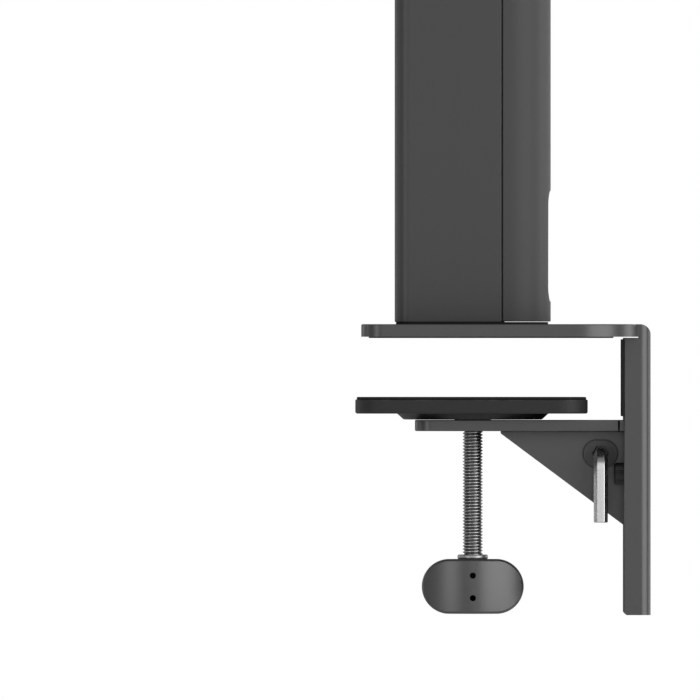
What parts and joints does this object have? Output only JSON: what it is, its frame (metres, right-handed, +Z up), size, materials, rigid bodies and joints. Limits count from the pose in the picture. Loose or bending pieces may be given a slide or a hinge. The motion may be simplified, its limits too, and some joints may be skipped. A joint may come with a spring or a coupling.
{
  "type": "monitor arm",
  "caption": "Desk-clamp monitor arm: column with rear cable cover, swivelling link arm, gas-spring parallelogram arm and tilting head plate, on a screw clamp.",
  "frame": {"origin": "on the clamp screw's axis, at the underside of the top plate's pad, where it rests on the desk", "axes": "+Z up, +X towards the desk's rear edge, -X towards the user"},
  "size_m": [0.6469, 0.116, 0.4684],
  "materials": {
    "bracket_paint": "satin black powder coat",
    "column_paint": "fine matt black powder coat on extruded aluminium",
    "cover_plastic": "matt black moulded plastic",
    "casting_paint": "satin black paint on die-cast aluminium",
    "knob_paint": "satin dark grey paint on die-cast zinc",
    "screw_steel": "rolled steel thread, lightly oiled",
    "bright_steel": "polished plated steel",
    "key_steel": "nickel-plated steel",
    "black_steel": "black oxide steel fasteners",
    "plain_steel": "ground steel pins and posts",
    "black_plastic": "black moulded nylon",
    "bush_plastic": "natural acetal bushes and washers",
    "foam": "black foam rubber pads",
    "spring_paint": "black painted gas spring tube"
  },
  "bodies": {
    "root": {"upper_bracket": "bracket_paint", "top_pad": "foam", "edge_pad": "foam", "lower_bracket": "bracket_paint", "gussets": "bracket_paint", "key_grommets": "black_plastic", "bracket_bolts": "black_steel", "bolt_washers": "black_steel", "weld_nut": "plain_steel", "column_foot": "foam", "column_body": "column_paint", "column_screws": "black_steel", "column_head": "casting_paint", "head_screws": "black_steel", "shoulder_post": "plain_steel", "shoulder_washer": "bush_plastic", "shoulder_retainer": "plain_steel", "shoulder_screw": "black_steel"},
    "rear_cover": {"rear_cable_cover": "cover_plastic"},
    "pressure_foot": {"pressure_plate": "bracket_paint", "pressure_pad": "foam"},
    "screw": {"clamp_screw": "screw_steel", "screw_collar": "bright_steel", "tip_washer": "plain_steel", "knob": "knob_paint", "knob_set_screws": "black_steel"},
    "key": {"hex_key": "key_steel"},
    "link": {"link_arm": "casting_paint", "shoulder_bush": "bush_plastic", "shoulder_cap": "black_plastic", "link_cable_clips": "black_plastic", "elbow_bush": "bush_plastic"},
    "elbow": {"elbow_post": "plain_steel", "elbow_knuckle": "casting_paint", "tension_screw": "black_steel", "rear_pivot_pins": "black_steel", "spring_pin": "plain_steel"},
    "upper_link": {"upper_arm_shell": "casting_paint", "spring_bracket": "plain_steel", "rod_pin": "plain_steel"},
    "lower_link": {"lower_arm_shell": "casting_paint", "arm_cable_clips": "black_plastic"},
    "spring_tube": {"gas_spring_tube": "spring_paint"},
    "spring_rod": {"gas_spring_rod": "bright_steel"},
    "front": {"front_knuckle": "casting_paint", "front_pivot_pins": "black_steel", "pan_bush": "bush_plastic"},
    "pan_head": {"pan_block": "casting_paint", "pan_post": "plain_steel", "pan_retainer": "plain_steel", "pan_screw": "black_steel", "tilt_bolt": "black_steel", "tilt_nut": "black_steel", "tilt_washers": "bush_plastic"},
    "tilt_head": {"tilt_block": "casting_paint", "rotation_washer": "bush_plastic", "rotation_retainer": "plain_steel", "rotation_screw": "black_steel"},
    "screen_plate": {"vesa_plate": "bracket_paint"}
  },
  "joints": [
    {"name": "cover_pull", "type": "slide", "parent": "root", "child": "rear_cover", "axis": [1, 0, 0], "range_m": [0, 0.06]},
    {"name": "foot_slide", "type": "slide", "parent": "root", "child": "pressure_foot", "axis": [0, 0, 1], "range_m": [0, 0.0215]},
    {"name": "screw_turn", "type": "hinge", "parent": "pressure_foot", "child": "screw", "pos_m": [0, 0, -0.06], "axis": [0, 0, 1], "range_deg": [0, 6200]},
    {"name": "key_pull", "type": "slide", "parent": "root", "child": "key", "axis": [0, -1, 0], "range_m": [0, 0.04]},
    {"name": "shoulder_swivel", "type": "hinge", "parent": "root", "child": "link", "pos_m": [-0.008, 0, 0.2476], "axis": [0, 0, 1], "range_deg": [-90, 90]},
    {"name": "elbow_swivel", "type": "hinge", "parent": "link", "child": "elbow", "pos_m": [-0.238, 0, 0.2868], "axis": [0, 0, 1], "range_deg": [-90, 90]},
    {"name": "arm_lift", "type": "hinge", "parent": "elbow", "child": "upper_link", "pos_m": [-0.26, 0, 0.3378], "axis": [0, 1, 0], "range_deg": [-35, 35]},
    {"name": "lower_link_swing", "type": "hinge", "parent": "elbow", "child": "lower_link", "pos_m": [-0.26, 0, 0.3138], "axis": [0, 1, 0], "range_deg": [-35.5, 35.5]},
    {"name": "front_level", "type": "hinge", "parent": "upper_link", "child": "front", "pos_m": [-0.48, 0, 0.3378], "axis": [0, 1, 0], "range_deg": [-35.5, 35.5]},
    {"name": "spring_swing", "type": "hinge", "parent": "elbow", "child": "spring_tube", "pos_m": [-0.26, 0, 0.3258], "axis": [0, 1, 0], "range_deg": [-35.5, 35.5]},
    {"name": "spring_stroke", "type": "slide", "parent": "spring_tube", "child": "spring_rod", "axis": [-1, 0, 0], "range_m": [-0.007, 0.007]},
    {"name": "head_pan", "type": "hinge", "parent": "front", "child": "pan_head", "pos_m": [-0.51, 0, 0.3178], "axis": [0, 0, 1], "range_deg": [-90, 90]},
    {"name": "head_tilt", "type": "hinge", "parent": "pan_head", "child": "tilt_head", "pos_m": [-0.544, 0, 0.2998], "axis": [0, 1, 0], "range_deg": [-40, 40]},
    {"name": "screen_rotate", "type": "hinge", "parent": "tilt_head", "child": "screen_plate", "pos_m": [-0.5692, 0, 0.2998], "axis": [1, 0, 0], "range_deg": [-90, 90]}
  ],
  "couplings": [
    {"joint": "screw_turn", "follows": "foot_slide", "rad_per_m": 5026.5},
    {"joint": "lower_link_swing", "follows": "arm_lift", "ratio": 1},
    {"joint": "front_level", "follows": "arm_lift", "ratio": -1},
    {"joint": "spring_swing", "follows": "arm_lift", "ratio": 1},
    {"joint": "spring_stroke", "follows": "arm_lift", "m_per_rad": 0.01127}
  ]
}
